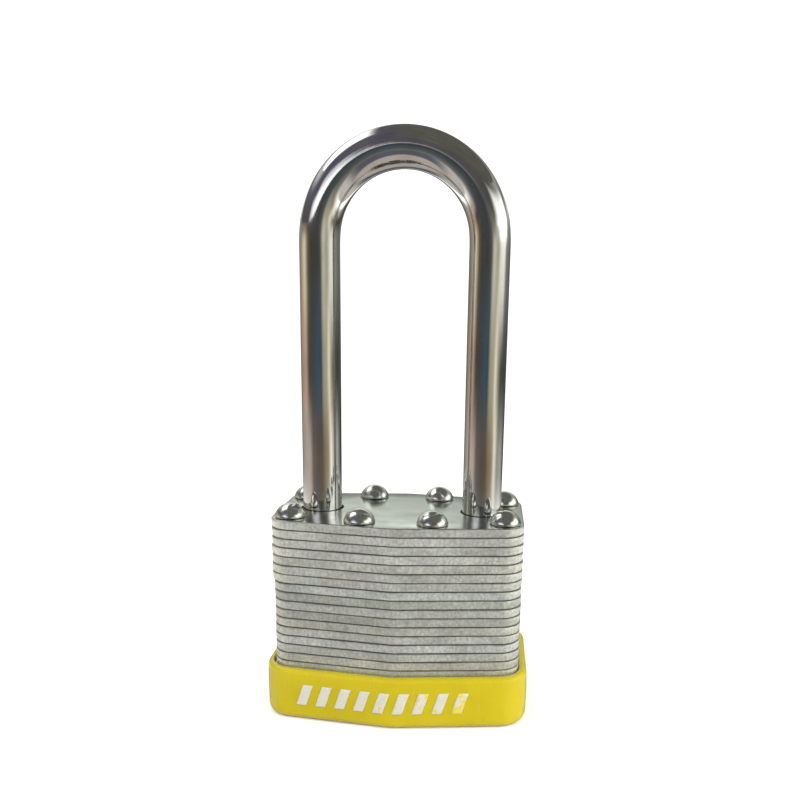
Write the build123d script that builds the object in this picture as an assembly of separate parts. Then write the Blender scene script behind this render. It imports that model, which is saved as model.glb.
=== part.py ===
from build123d import *

import os
from math import atan, cos, pi, radians, sin, tan

# Laminated steel padlock with a long shackle and a soft base bumper.
# Millimetres, +Z up along the shackle legs, origin at the centre of the base, front face towards -Y.
# The shackle is shut and the plug is turned to open, so that both locking levers are drawn back.

# ---------------------------------------------------------------- driving dimensions
# Plate stack
body_width = 40.0
ridge_depth = 24.4  # front ridge to back ridge
side_depth = 19.3  # where the sloping faces would meet the sides
corner_radius = 3.5
ridge_radius = 8.0
plate_thickness = 1.45
roof_plates = 2
lever_plates = 3
bay_plates = 13
top_edge_round = 0.22
bottom_edge_round = 0.1

# Rivets
rivet_radius = 1.5
rivet_head_radius = 2.48
rivet_head_height = 2.15
rivet_rim_height = 0.25
rivet_flare_radius = 2.15
rivet_flare_height = 0.65
corner_rivet_inset = 3.0  # from the side, and from where the sloping face meets it
face_rivet_x = 5.7
face_rivet_inset = 3.6  # from the ridge
rivet_clearance = 0.04

# Shackle
rod_radius = 3.175
leg_spacing = 26.4
clear_height = 53.1  # top plate to the inside of the crown
leg_clearance = 0.35
notch_depth = 1.22
notch_play = 0.35  # above and below the lever
toe_land = 1.85  # below the toe notch
lift_margin = 1.0  # toe above the top plate when open
neck_depth = 1.225
heel_tip = 1.4  # below the retaining ring
heel_ring_step = 1.125  # outside the rod
heel_ring_thickness = 0.8
heel_groove_depth = 0.875
heel_bore_clearance = 0.3
toe_round = 1.0
heel_round = 0.4

# Bumper
bumper_wall = 1.4
bumper_height = 8.6
bumper_floor = 2.2
bumper_lip = 4.0  # floor reach inside the plate outline
bumper_clearance = 0.04
bumper_base_round = 1.5
bumper_rim_round = 0.8
mark_count = 9
mark_width = 1.7
mark_height = 3.55
mark_relief = 0.25
mark_lean = 18.0  # degrees
mark_first_x = -14.0
mark_last_x = 10.8
mark_centre_z = 4.55

# Cylinder
plug_y = -2.0
plug_radius = 4.4
face_step = 0.6  # shoulder behind the plug's face, which shows through the bottom plate
face_clearance = 0.15
bore_clearance = 0.05
shell_wall = 0.9
housing_half_width = 2.9
housing_inset = 2.4  # pin housing's back to the back ridge
bay_clearance = 0.1
end_play = 0.05
pin_count = 5
pin_radius = 1.35
chamber_clearance = 0.08
end_margin = 2.4  # shell end to the nearest chamber
driver_length = 2.4
cover_thickness = 0.8
cover_half_width = 1.9
cover_overhang = 0.35
key_pin_lengths = (3.2, 2.4, 3.5, 2.8, 3.0)
keyway_half_width = 0.75
keyway_step = 0.45
keyway_low = -3.3
keyway_high = 3.0
clip_thickness = 0.7
clip_step = 0.5  # outside the plug
clip_groove_depth = 1.05
plug_cap = 0.4  # plug left above the clip
tail_radius = 2.2
tang_half = 0.7  # half the tang's thickness, between the drive pins
tail_clearance = 0.15
tang_fit = 0.03  # cam on the tang

# Cam and locking levers
cam_radius = 3.2
cam_clearance = 0.2
drive_pin_radius = 0.8
drive_pin_reach = 1.7  # from the plug's axis
drive_pin_stand = 0.3  # above the levers
drive_gap = 0.1
lever_thickness = 2.0 * plate_thickness
lever_play = 0.05
lever_bite = 1.1  # into the shackle when locked
nose_half_width = 1.6
nose_neck = 1.3  # nose tip to the lever's web
web_thickness = 2.0
arm_width = 1.5
arm_gap = 0.2  # arm to drive pin
hook_thickness = 1.6
hook_overlap = 0.7  # hook tip to the plug's axis line
web_back_y = 5.9
window_margin = 0.3
window_overlap = 0.425  # window into the leg holes
spring_lane_y = 4.1
peg_radius = 0.75
peg_length = 1.2

# Springs: mean radius, wire radius and turns
lever_spring_coil = (1.2, 0.2, 12)
shackle_spring_coil = (2.2, 0.3, 6)
pin_spring_coil = (0.95, 0.14, 7)
drain_radius = 1.2
overshoot = 1.0  # how far cutting shapes run past what they cut

# ---------------------------------------------------------------- levels and places
half_width = body_width / 2
slope = atan((ridge_depth - side_depth) / body_width)
plate_count = roof_plates + lever_plates + 2 + bay_plates + 1
stack_bottom = bumper_floor
stack_top = stack_bottom + plate_count * plate_thickness
bottom_plate_top = stack_bottom + plate_thickness
bay_top = bottom_plate_top + bay_plates * plate_thickness
cam_floor = bay_top + plate_thickness
window_floor = cam_floor + plate_thickness
leg_x = leg_spacing / 2
arch_z = stack_top + clear_height + rod_radius - leg_x
crown_top = stack_top + clear_height + 2 * rod_radius

lever_low = window_floor + lever_play
lever_high = lever_low + lever_thickness
notch_low = lever_low - notch_play
notch_high = lever_high + notch_play
toe_end = notch_low - toe_land
shackle_lift = stack_top - toe_end + lift_margin
neck_radius = rod_radius - neck_depth
heel_groove_radius = rod_radius - heel_groove_depth
heel_ring_radius = rod_radius + heel_ring_step
heel_ring_top = bay_top - shackle_lift - end_play
heel_ring_low = heel_ring_top - heel_ring_thickness
heel_end = heel_ring_low - heel_tip
heel_bore_radius = heel_ring_radius + heel_bore_clearance
leg_hole_radius = rod_radius + leg_clearance
window_reach = leg_x - leg_hole_radius + window_overlap

face_radius = plug_radius - face_step
clip_radius = plug_radius + clip_step
clip_groove_radius = plug_radius - clip_groove_depth
housing_top_y = ridge_depth / 2 - housing_inset
shell_bottom = bottom_plate_top + end_play
plug_top = bay_top - 2 * end_play
clip_top = plug_top - plug_cap
clip_low = clip_top - clip_thickness
shell_top = clip_low - end_play
shell_bore = plug_radius + bore_clearance
shell_radius = shell_bore + shell_wall
cover_inner_y = housing_top_y - cover_thickness
chamber_radius = pin_radius + chamber_clearance
cam_low = cam_floor + end_play
cam_high = window_floor - end_play
drive_pin_top = lever_high + drive_pin_stand

drive_x = drive_pin_reach * cos(pi / 4)  # the pins start and end the quarter turn at 45 degrees
lever_throw = 2 * drive_x
leg_face_x = leg_x - rod_radius
nose_tip_x = leg_face_x + lever_bite - lever_throw
web_outer_x = nose_tip_x - nose_neck
web_inner_x = web_outer_x - web_thickness
hook_face_x = drive_x + drive_pin_radius + drive_gap
arm_inner = drive_pin_reach + drive_pin_radius + arm_gap  # from the plug's axis line
arm_outer = arm_inner + arm_width
lever_mid_z = (lever_low + lever_high) / 2

corner_rivet_x = half_width - corner_rivet_inset
corner_rivet_y = side_depth / 2 - corner_rivet_inset
face_rivet_y = ridge_depth / 2 - face_rivet_inset
rivet_places = [
    (sx * x, sy * y)
    for x, y in ((corner_rivet_x, corner_rivet_y), (face_rivet_x, face_rivet_y))
    for sx in (-1, 1)
    for sy in (-1, 1)
]


# ---------------------------------------------------------------- shared shapes
def outline(grow=0.0):
    """The six-sided plan of the plates, grown or shrunk all round, with its corners rounded."""
    wide = half_width + grow
    ridge = ridge_depth / 2 + grow / cos(slope)
    side = ridge - wide * tan(slope)
    points = [(0, -ridge), (wide, -side), (wide, side), (0, ridge), (-wide, side), (-wide, -side)]
    face = make_face(Polyline(*points, close=True))
    corners = [v for v in face.vertices() if abs(v.X) > wide / 2]
    face = fillet(corners, max(corner_radius + grow, 0.8))
    ridges = [v for v in face.vertices() if abs(v.X) < wide / 4]
    return fillet(ridges, max(ridge_radius + grow, 1.0))


def disc(x, y, radius):
    return Pos(x, y) * Circle(radius)


def block(x0, x1, y0, y1):
    return Pos((x0 + x1) / 2, (y0 + y1) / 2) * Rectangle(x1 - x0, y1 - y0)


def slab(sketch, low, high):
    """A flat sketch made solid between two levels."""
    return extrude(Pos(0, 0, low) * sketch, amount=high - low)


def rod(x, y, radius, low, high):
    return slab(disc(x, y, radius), low, high)


def tube_ring(x, y, inner, outer, low, high, gap):
    """A flat spring ring with a gap across its front."""
    ring = disc(x, y, outer) - disc(x, y, inner)
    return slab(ring - block(x - gap / 2, x + gap / 2, y - outer, y), low, high)


def coil(mean_radius, wire_radius, turns, length):
    """A compression spring from z = 0 to z = length."""
    rise = length - 2 * wire_radius
    path = Helix(pitch=rise / turns, height=rise, radius=mean_radius)
    start = Plane(origin=path @ 0, z_dir=path % 0)
    return Pos(0, 0, wire_radius) * sweep(start * Circle(wire_radius), path=path)


def save(shape, name):
    """One STEP file holding every solid of the sub-part."""
    os.makedirs("parts", exist_ok=True)
    solids = [s for part in (shape if isinstance(shape, list) else [shape]) for s in part.solids()]
    body = solids[0] if len(solids) == 1 else Compound(children=solids)
    body.label = name
    export_step(body, f"parts/{name}.step")


# ---------------------------------------------------------------- plate stack
def plate_blank():
    """One stamped plate with its outer edges rounded, underside at z = 0."""
    blank = slab(outline(), 0, plate_thickness)
    blank = fillet(blank.faces().sort_by(Axis.Z)[-1].edges(), top_edge_round)
    return fillet(blank.faces().sort_by(Axis.Z)[0].edges(), bottom_edge_round)


def leg_holes():
    return disc(-leg_x, 0, leg_hole_radius) + disc(leg_x, 0, leg_hole_radius)


def cylinder_outline(grow=0.0):
    barrel = disc(0, plug_y, shell_radius + grow)
    housing = block(-housing_half_width - grow, housing_half_width + grow, plug_y, housing_top_y + grow)
    return barrel + housing


def lever_window():
    low = plug_y - arm_outer - window_margin
    return leg_holes() + block(-window_reach, window_reach, low, web_back_y + window_margin)


def plate_name(index):
    """What a plate is called, counted from 0 at the top of the stack."""
    below_roof = index - roof_plates
    below_levers = below_roof - lever_plates
    if below_roof < 0:
        return f"roof_plate_{index + 1}"
    if below_levers < 0:
        return f"lever_plate_{below_roof + 1}"
    if below_levers == 0:
        return "cam_plate"
    if below_levers == 1:
        return "tail_plate"
    if index < plate_count - 1:
        return f"cylinder_plate_{below_levers - 1:02d}"
    return "bottom_plate"


def plate_openings(index):
    """The hole pattern of a plate, counted from 0 at the top of the stack."""
    below_roof = index - roof_plates
    below_levers = below_roof - lever_plates
    if below_roof < 0:
        return leg_holes()
    if below_levers < 0:
        return lever_window()
    if below_levers == 0:
        return leg_holes() + disc(0, plug_y, cam_radius + cam_clearance)
    if below_levers == 1:
        return leg_holes() + disc(0, plug_y, tail_radius + tail_clearance)
    if index < plate_count - 1:
        legs = disc(-leg_x, 0, heel_bore_radius) + disc(leg_x, 0, leg_hole_radius)
        return legs + cylinder_outline(bay_clearance)
    drains = disc(-leg_x, 0, drain_radius) + disc(leg_x, 0, drain_radius)
    return drains + disc(0, plug_y, face_radius + face_clearance)


def plates():
    blank = plate_blank()
    rivet_holes = [disc(x, y, rivet_radius + rivet_clearance) for x, y in rivet_places]
    made = {}
    for index in range(plate_count):
        cut = Sketch() + rivet_holes + [plate_openings(index)]
        plate = blank - slab(cut, -overshoot, plate_thickness + overshoot)
        if index == plate_count - 1:
            grow = rivet_clearance
            for x, y in rivet_places:
                cone = Cone(rivet_flare_radius + grow, rivet_radius + grow, rivet_flare_height)
                plate -= Pos(x, y, rivet_flare_height / 2) * cone
        made[plate_name(index)] = Pos(0, 0, stack_top - (index + 1) * plate_thickness) * plate
    return made


def rivet(x, y):
    """Domed head on the top plate, shank through the stack, and a tail flared flush underneath."""
    dome_rise = rivet_head_height - rivet_rim_height
    sphere = (rivet_head_radius**2 + dome_rise**2) / (2 * dome_rise)
    tilt = atan(rivet_head_radius / (sphere - dome_rise)) / 2
    middle = (sphere * sin(tilt), dome_rise - sphere * (1 - cos(tilt)))
    top = stack_top
    rim = top + rivet_rim_height
    outer = Polyline(
        (0, stack_bottom),
        (rivet_flare_radius, stack_bottom),
        (rivet_radius, stack_bottom + rivet_flare_height),
        (rivet_radius, top),
        (rivet_head_radius - rivet_rim_height / 2, top),
        (rivet_head_radius, top + rivet_rim_height / 2),
        (rivet_head_radius, rim),
    )
    dome = ThreePointArc(
        (rivet_head_radius, rim), (middle[0], rim + middle[1]), (0, top + rivet_head_height)
    )
    profile = make_face(outer + dome + Line((0, top + rivet_head_height), (0, stack_bottom)))
    return Pos(x, y) * revolve(Plane.XZ * profile, axis=Axis.Z)


# ---------------------------------------------------------------- bumper
def bumper():
    """Soft cup round the foot of the stack, open underneath to show the bottom plate."""
    cup = slab(outline(bumper_wall), 0, bumper_height)
    cup = fillet(cup.faces().sort_by(Axis.Z)[-1].edges(), bumper_rim_round)
    cup = fillet(cup.faces().sort_by(Axis.Z)[0].edges(), bumper_base_round)
    cup -= slab(outline(bumper_clearance), bumper_floor, bumper_height + overshoot)
    return cup - slab(outline(-bumper_lip), -overshoot, bumper_floor + overshoot)


def bumper_marks():
    """A row of plain slanted bars raised on the bumper's front."""
    low = mark_centre_z - mark_height / 2
    high = mark_centre_z + mark_height / 2
    skin = slab(outline(bumper_wall + mark_relief), low, high) - slab(outline(bumper_wall), low, high)
    lean = mark_height / 2 * tan(radians(mark_lean))
    half = mark_width / 2
    bars = []
    for number in range(mark_count):
        x = mark_first_x + number * (mark_last_x - mark_first_x) / (mark_count - 1)
        shape = Polyline(
            (x - half - lean, low),
            (x + half - lean, low),
            (x + half + lean, high),
            (x - half + lean, high),
            close=True,
        )
        bars.append(skin & extrude(Plane.XZ * make_face(shape), amount=ridge_depth))
    return bars


# ---------------------------------------------------------------- shackle
def shackle():
    heel = rod(-leg_x, 0, rod_radius, heel_end, arch_z)
    toe = rod(leg_x, 0, rod_radius, toe_end, arch_z)
    arch = revolve(Pos(leg_x, 0, arch_z) * Circle(rod_radius), Axis((0, 0, arch_z), (0, -1, 0)), 180)
    heel = fillet(heel.faces().sort_by(Axis.Z)[0].edges(), heel_round)
    toe = fillet(toe.faces().sort_by(Axis.Z)[0].edges(), toe_round)
    bar = heel + toe + arch
    notch_face = leg_x - rod_radius + notch_depth
    bar -= slab(block(-notch_face, notch_face, -rod_radius, rod_radius), notch_low, notch_high)
    neck = disc(-leg_x, 0, rod_radius + overshoot) - disc(-leg_x, 0, neck_radius)
    bar -= slab(neck, notch_low - shackle_lift, notch_high - shackle_lift)
    groove = disc(-leg_x, 0, rod_radius + overshoot) - disc(-leg_x, 0, heel_groove_radius)
    return bar - slab(groove, heel_ring_low - end_play, heel_ring_top + end_play)


def heel_ring():
    inner = heel_groove_radius + end_play
    return tube_ring(-leg_x, 0, inner, heel_ring_radius, heel_ring_low, heel_ring_top, heel_groove_radius)


def shackle_spring():
    mean_radius, wire_radius, turns = shackle_spring_coil
    spring = coil(mean_radius, wire_radius, turns, heel_end - bottom_plate_top - 2 * end_play)
    return Pos(-leg_x, 0, bottom_plate_top + end_play) * spring


# ---------------------------------------------------------------- cylinder
def chamber_levels():
    first = shell_bottom + end_margin
    step = (shell_top - end_margin - first) / (pin_count - 1)
    return [first + number * step for number in range(pin_count)]


def cross_rod(level, radius, y0, y1):
    """A round bar along +Y above the plug's axis."""
    return extrude(Plane(origin=(0, y0, level), z_dir=(0, 1, 0)) * Circle(radius), amount=y1 - y0)


def cylinder_shell():
    shell = slab(cylinder_outline(), shell_bottom, shell_top)
    shell -= rod(0, plug_y, shell_bore, shell_bottom - overshoot, shell_top + overshoot)
    for level in chamber_levels():
        shell -= cross_rod(level, chamber_radius, plug_y + plug_radius / 2, housing_top_y + overshoot)
    return shell - chamber_cover(end_play)


def chamber_cover(grow=0.0):
    """The strip let into the housing's back that closes the pin chambers."""
    levels = chamber_levels()
    reach = chamber_radius + cover_overhang + grow
    half = cover_half_width + grow
    strip = block(-half, half, cover_inner_y, housing_top_y + grow)
    return slab(strip, levels[0] - reach, levels[-1] + reach)


def driver_pins():
    start = plug_y + shell_bore
    return [cross_rod(level, pin_radius, start, start + driver_length) for level in chamber_levels()]


def pin_springs():
    mean_radius, wire_radius, turns = pin_spring_coil
    start = plug_y + shell_bore + driver_length + end_play
    spring = coil(mean_radius, wire_radius, turns, cover_inner_y - start - end_play)
    return [Plane(origin=(0, start, z), z_dir=(0, 1, 0)) * spring for z in chamber_levels()]


def keyway():
    """A stepped slot with one ward on each side."""
    w = keyway_half_width
    s = keyway_step
    third = (keyway_high - keyway_low) / 3
    low = keyway_low
    points = [
        (-w, low),
        (w, low),
        (w, low + third - s),
        (w - s, low + third),
        (w - s, low + 2 * third - s),
        (w, low + 2 * third),
        (w, keyway_high),
        (-w, keyway_high),
        (-w, low + 2 * third + s),
        (-w - s, low + 2 * third),
        (-w - s, low + third + s),
        (-w, low + third),
    ]
    return Pos(0, plug_y) * make_face(Polyline(*points, close=True))


def tang(grow=0.0):
    """The flat end of the plug's tail, which drives the cam from between its pins."""
    reach = tail_radius + grow
    bar = Pos(0, plug_y) * Rot(0, 0, 45) * Rectangle(2 * (tang_half + grow), 2 * reach)
    return disc(0, plug_y, reach) & bar


def plug():
    """Plug with its key face, pin chambers, clip groove, tail and tang, as when the key goes in."""
    body = rod(0, plug_y, face_radius, stack_bottom, shell_bottom)
    body += rod(0, plug_y, plug_radius, shell_bottom, plug_top)
    body += rod(0, plug_y, tail_radius, plug_top, cam_low)
    body += slab(tang(), cam_low, cam_high)
    groove = disc(0, plug_y, plug_radius + overshoot) - disc(0, plug_y, clip_groove_radius)
    body -= slab(groove, clip_low - end_play / 2, clip_top + end_play / 2)
    body -= slab(keyway(), stack_bottom - overshoot, shell_top - end_margin / 2)
    for level in chamber_levels():
        body -= cross_rod(level, chamber_radius, plug_y, plug_y + plug_radius + overshoot)
    return body


def key_pins():
    """Pointed pins held at the shear line, each as long as its step in the key needs."""
    limit = rod(0, plug_y, plug_radius - end_play / 2, shell_bottom, shell_top)
    tip = pin_radius / 2
    pins = []
    for level, length in zip(chamber_levels(), key_pin_lengths):
        start = plug_y + plug_radius - length
        shank = cross_rod(level, pin_radius, start + tip, plug_y + plug_radius)
        cone = Plane(origin=(0, start + tip / 2, level), z_dir=(0, 1, 0)) * Cone(tip, pin_radius, tip)
        pins.append((shank + cone) & limit)
    return pins


def plug_clip():
    inner = clip_groove_radius + end_play
    return tube_ring(0, plug_y, inner, clip_radius, clip_low, clip_top, clip_groove_radius)


def cam():
    """Disc on the plug's tang with two upright drive pins."""
    made = slab(disc(0, plug_y, cam_radius) - tang(tang_fit), cam_low, cam_high)
    for side in (-1, 1):
        made += rod(side * drive_x, plug_y + side * drive_x, drive_pin_radius, cam_low, drive_pin_top)
    return made


def turned_open(shape):
    """Turns a piece a quarter turn about the plug's axis, from key-in to open."""
    return Pos(0, plug_y) * Rot(0, 0, 90) * Pos(0, -plug_y) * shape


# ---------------------------------------------------------------- locking levers
def lever(side):
    """Locking lever on the left (-1) or right (1), drawn back. Its hook lies beyond the cam's axis."""

    def across(x0, x1, y0, y1):
        return block(*sorted((side * x0, side * x1)), *sorted((y0, y1)))

    arm_near = plug_y + side * arm_inner
    arm_far = plug_y + side * arm_outer
    web_front = min(arm_far, -nose_half_width)
    flat = across(web_outer_x - web_thickness / 2, nose_tip_x, -nose_half_width, nose_half_width)
    flat += across(web_inner_x, web_outer_x, web_front, web_back_y)
    flat += across(-hook_face_x - hook_thickness, web_outer_x, arm_near, arm_far)
    flat += across(-hook_face_x - hook_thickness, -hook_face_x, plug_y + side * hook_overlap, arm_far)
    made = slab(flat, lever_low, lever_high)
    seat = Plane(origin=(side * web_inner_x, spring_lane_y, lever_mid_z), z_dir=(-side, 0, 0))
    return made + extrude(seat * Circle(peg_radius), amount=peg_length)


def lever_spring():
    mean_radius, wire_radius, turns = lever_spring_coil
    start = web_inner_x - end_play
    spring = coil(mean_radius, wire_radius, turns, 2 * start)
    return Plane(origin=(-start, spring_lane_y, lever_mid_z), z_dir=(1, 0, 0)) * spring


# ---------------------------------------------------------------- build
def build():
    parts = plates()
    parts["corner_rivets"] = [rivet(x, y) for x, y in rivet_places[:4]]
    parts["face_rivets"] = [rivet(x, y) for x, y in rivet_places[4:]]
    parts["bumper"] = bumper()
    parts["bumper_marks"] = bumper_marks()
    parts["shackle"] = shackle()
    parts["heel_ring"] = heel_ring()
    parts["shackle_spring"] = shackle_spring()
    parts["cylinder_shell"] = cylinder_shell()
    parts["chamber_cover"] = chamber_cover()
    parts["driver_pins"] = driver_pins()
    parts["pin_springs"] = pin_springs()
    parts["plug"] = turned_open(plug())
    parts["key_pins"] = [turned_open(pin) for pin in key_pins()]
    parts["plug_clip"] = plug_clip()
    parts["cam"] = turned_open(cam())
    parts["left_lever"] = lever(-1)
    parts["right_lever"] = lever(1)
    parts["lever_spring"] = lever_spring()
    for name, shape in parts.items():
        save(shape, name)
    print(f"{len(parts)} sub-parts, {crown_top:.1f} mm tall, shackle lift {shackle_lift:.2f} mm")
    print(f"lever throw {lever_throw:.3f} mm in a quarter turn, {lever_throw / (pi / 2):.4f} mm per radian")


build()
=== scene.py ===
import math
import random

import bmesh
import bpy
from mathutils import Matrix, Vector, noise


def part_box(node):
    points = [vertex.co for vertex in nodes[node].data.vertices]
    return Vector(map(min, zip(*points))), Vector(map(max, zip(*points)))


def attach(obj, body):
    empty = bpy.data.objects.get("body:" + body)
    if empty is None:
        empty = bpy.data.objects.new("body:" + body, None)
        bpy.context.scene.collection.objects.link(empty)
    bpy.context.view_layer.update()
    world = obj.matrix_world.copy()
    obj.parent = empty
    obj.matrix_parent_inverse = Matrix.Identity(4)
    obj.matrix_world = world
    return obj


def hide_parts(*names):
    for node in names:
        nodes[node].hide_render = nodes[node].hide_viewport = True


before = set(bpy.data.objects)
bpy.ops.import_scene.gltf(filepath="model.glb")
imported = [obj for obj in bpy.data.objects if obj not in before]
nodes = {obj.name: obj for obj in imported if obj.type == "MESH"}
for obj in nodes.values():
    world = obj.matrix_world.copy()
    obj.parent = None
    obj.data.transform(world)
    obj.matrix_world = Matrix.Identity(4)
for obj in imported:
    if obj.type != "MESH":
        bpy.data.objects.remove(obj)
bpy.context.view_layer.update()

mm = 0.001
print("frame loaded:", len(nodes), "CAD nodes")


# camera: a short lens a little above the lock and to its right, with the frame shifted
camera = {
    "place": (13.87, -129.37),  # mm, across and in front
    "aboveTopPlate": 32.93,  # mm
    "turn": 0.0572,  # turn, tilt and roll in radians
    "tilt": 0.2192,
    "roll": 0.0209,
    "lens": 36.43,
    "shift": (-0.0515, 0.1086),
    "nearest": 0.005,  # m
}

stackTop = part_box("roof_plate_1")[1].z


def makeCamera(look):
    data = bpy.data.cameras.new("studioCamera")
    data.lens = look["lens"]
    data.shift_x, data.shift_y = look["shift"]
    data.clip_start = look["nearest"]
    made = bpy.data.objects.new("studioCamera", data)
    bpy.context.scene.collection.objects.link(made)
    turn = Matrix.Rotation(look["turn"], 4, "Z")
    tilt = Matrix.Rotation(math.pi / 2 - look["tilt"], 4, "X")
    roll = Matrix.Rotation(look["roll"], 4, "Z")
    x, y = look["place"]
    place = Matrix.Translation((x * mm, y * mm, stackTop + look["aboveTopPlate"] * mm))
    made.matrix_world = place @ turn @ tilt @ roll
    bpy.context.scene.camera = made


makeCamera(camera)
print("camera placed")


# small helpers for node trees
def fill(tree, made, inputs):
    for key, value in inputs.items():
        if isinstance(value, bpy.types.NodeSocket):
            tree.links.new(value, made.inputs[key])
        else:
            made.inputs[key].default_value = value
    return made


def addNode(tree, kind, inputs=None, **settings):
    made = tree.nodes.new("ShaderNode" + kind)
    for key, value in settings.items():
        setattr(made, key, value)
    return fill(tree, made, inputs or {})


def calc(tree, operation, first, second=0.5):
    return addNode(tree, "Math", {0: first, 1: second}, operation=operation).outputs[0]


def times(tree, first, second):
    return calc(tree, "MULTIPLY", first, second)


def plus(tree, first, second):
    return calc(tree, "ADD", first, second)


def minus(tree, first, second):
    return calc(tree, "SUBTRACT", first, second)


def blendColour(tree, factor, first, second, mode="MIX"):
    made = addNode(tree, "Mix", {0: factor, 6: first, 7: second}, data_type="RGBA", blend_type=mode)
    return made.outputs[2]


def ramp(tree, value, low, high, outLow=0.0, outHigh=1.0, smooth=False):
    made = addNode(tree, "MapRange", {0: value, 1: low, 2: high, 3: outLow, 4: outHigh})
    made.interpolation_type = "SMOOTHSTEP" if smooth else "LINEAR"
    return made.outputs[0]


def objectMm(tree):  # object coordinates in millimetres
    place = addNode(tree, "TexCoord").outputs["Object"]
    return addNode(tree, "VectorMath", {0: place, 3: 1 / mm}, operation="SCALE").outputs[0]


def startGroup(name, inputs, outputs):
    group = bpy.data.node_groups.new(name, "ShaderNodeTree")
    for label, kind, value in inputs:
        socket = group.interface.new_socket(label, in_out="INPUT", socket_type="NodeSocket" + kind)
        socket.default_value = value
    for label, kind in outputs:
        group.interface.new_socket(label, in_out="OUTPUT", socket_type="NodeSocket" + kind)
    return group, group.nodes.new("NodeGroupInput").outputs, group.nodes.new("NodeGroupOutput").inputs


def useGroup(tree, group, **inputs):
    made = tree.nodes.new("ShaderNodeGroup")
    made.node_tree = group
    return fill(tree, made, inputs).outputs


# effects shared by the materials
def makeGrainGroup():
    # mottled grain, with a stretch for sheared or drawn surfaces
    group, given, result = startGroup(
        "metalGrain",
        [("Scale", "Float", 2.0), ("Detail", "Float", 6.0), ("Stretch", "Vector", (1, 1, 1)), ("Seed", "Float", 0.0)],
        [("Value", "Float")],
    )
    place = addNode(group, "VectorMath", {0: objectMm(group), 1: given["Stretch"]}, operation="MULTIPLY")
    grain = addNode(group, "TexNoise", {"Vector": place.outputs[0], "W": given["Seed"],
                                        "Scale": given["Scale"], "Detail": given["Detail"]},
                    noise_dimensions="4D")
    group.links.new(grain.outputs["Fac"], result["Value"])
    return group


def makeSpeckGroup():
    # small pits and specks, broken up so that they come in patches
    group, given, result = startGroup(
        "specks",
        [("Scale", "Float", 1.5), ("Size", "Float", 0.12), ("Patchy", "Float", 0.5), ("Seed", "Float", 0.0)],
        [("Mask", "Float")],
    )
    cells = addNode(group, "TexVoronoi", {"Vector": objectMm(group), "W": given["Seed"],
                                          "Scale": given["Scale"]}, voronoi_dimensions="4D")
    patches = addNode(group, "TexNoise", {"Vector": objectMm(group), "W": given["Seed"], "Scale": 0.35},
                      noise_dimensions="4D")
    spot = ramp(group, cells.outputs["Distance"], given["Size"], 0.0, smooth=True)
    patchy = given["Patchy"]
    shown = ramp(group, patches.outputs["Fac"], patchy, plus(group, patchy, 0.12))
    group.links.new(times(group, spot, shown), result["Mask"])
    return group


def makeScratchGroup():
    # thin hairlines: two stretched noises cut to their narrow middle values
    group, given, result = startGroup(
        "hairlines",
        [("Scale", "Float", 1.0), ("Width", "Float", 0.01), ("Seed", "Float", 0.0)],
        [("Mask", "Float")],
    )
    lines = []
    for turn in ((0.3, 0.2, 0.5), (-0.5, 0.3, -0.35)):
        place = addNode(group, "Mapping", {"Vector": objectMm(group), "Rotation": turn, "Scale": (1.6, 1.6, 0.12)})
        wisps = addNode(group, "TexNoise", {"Vector": place.outputs[0], "W": given["Seed"],
                                            "Scale": given["Scale"], "Detail": 1.5}, noise_dimensions="4D")
        away = calc(group, "ABSOLUTE", minus(group, wisps.outputs["Fac"], 0.5))
        lines.append(ramp(group, away, given["Width"], 0.0))
    group.links.new(calc(group, "MAXIMUM", *lines), result["Mask"])
    return group


def makeEdgeGroup():
    # where a surface bends within the radius, roughened so that wear isn't even
    group, given, result = startGroup(
        "edgeWear",
        [("Radius", "Float", 0.2), ("Low", "Float", 0.02), ("High", "Float", 0.2), ("Seed", "Float", 0.0)],
        [("Mask", "Float")],
    )
    reach = times(group, given["Radius"], mm)
    rounded = addNode(group, "Bevel", {"Radius": reach}, samples=6)
    flat = addNode(group, "NewGeometry").outputs["Normal"]
    facing = addNode(group, "VectorMath", {0: rounded.outputs[0], 1: flat}, operation="DOT_PRODUCT").outputs["Value"]
    bend = minus(group, 1.0, facing)
    broken = addNode(group, "TexNoise", {"Vector": objectMm(group), "W": given["Seed"], "Scale": 1.3,
                                         "Detail": 5.0}, noise_dimensions="4D")
    uneven = times(group, bend, ramp(group, broken.outputs["Fac"], 0.3, 0.7, 0.4, 1.6))
    mask = ramp(group, uneven, given["Low"], given["High"], smooth=True)
    group.links.new(mask, result["Mask"])
    return group


grainGroup = makeGrainGroup()
speckGroup = makeSpeckGroup()
scratchGroup = makeScratchGroup()
edgeGroup = makeEdgeGroup()
print("shared effects made")


# materials
def startMaterial(name, kind="BsdfPrincipled", **constants):
    material = bpy.data.materials.new(name)
    material.use_nodes = True
    tree = material.node_tree
    tree.nodes.clear()
    shader = addNode(tree, kind, constants)
    addNode(tree, "OutputMaterial", {"Surface": shader.outputs[0]})
    return material, tree, shader


def bumpOn(tree, shader, height, distance, strength=1.0):
    bump = addNode(tree, "Bump", {"Height": height, "Strength": strength, "Distance": distance * mm})
    tree.links.new(bump.outputs[0], shader.inputs["Normal"])


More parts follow.
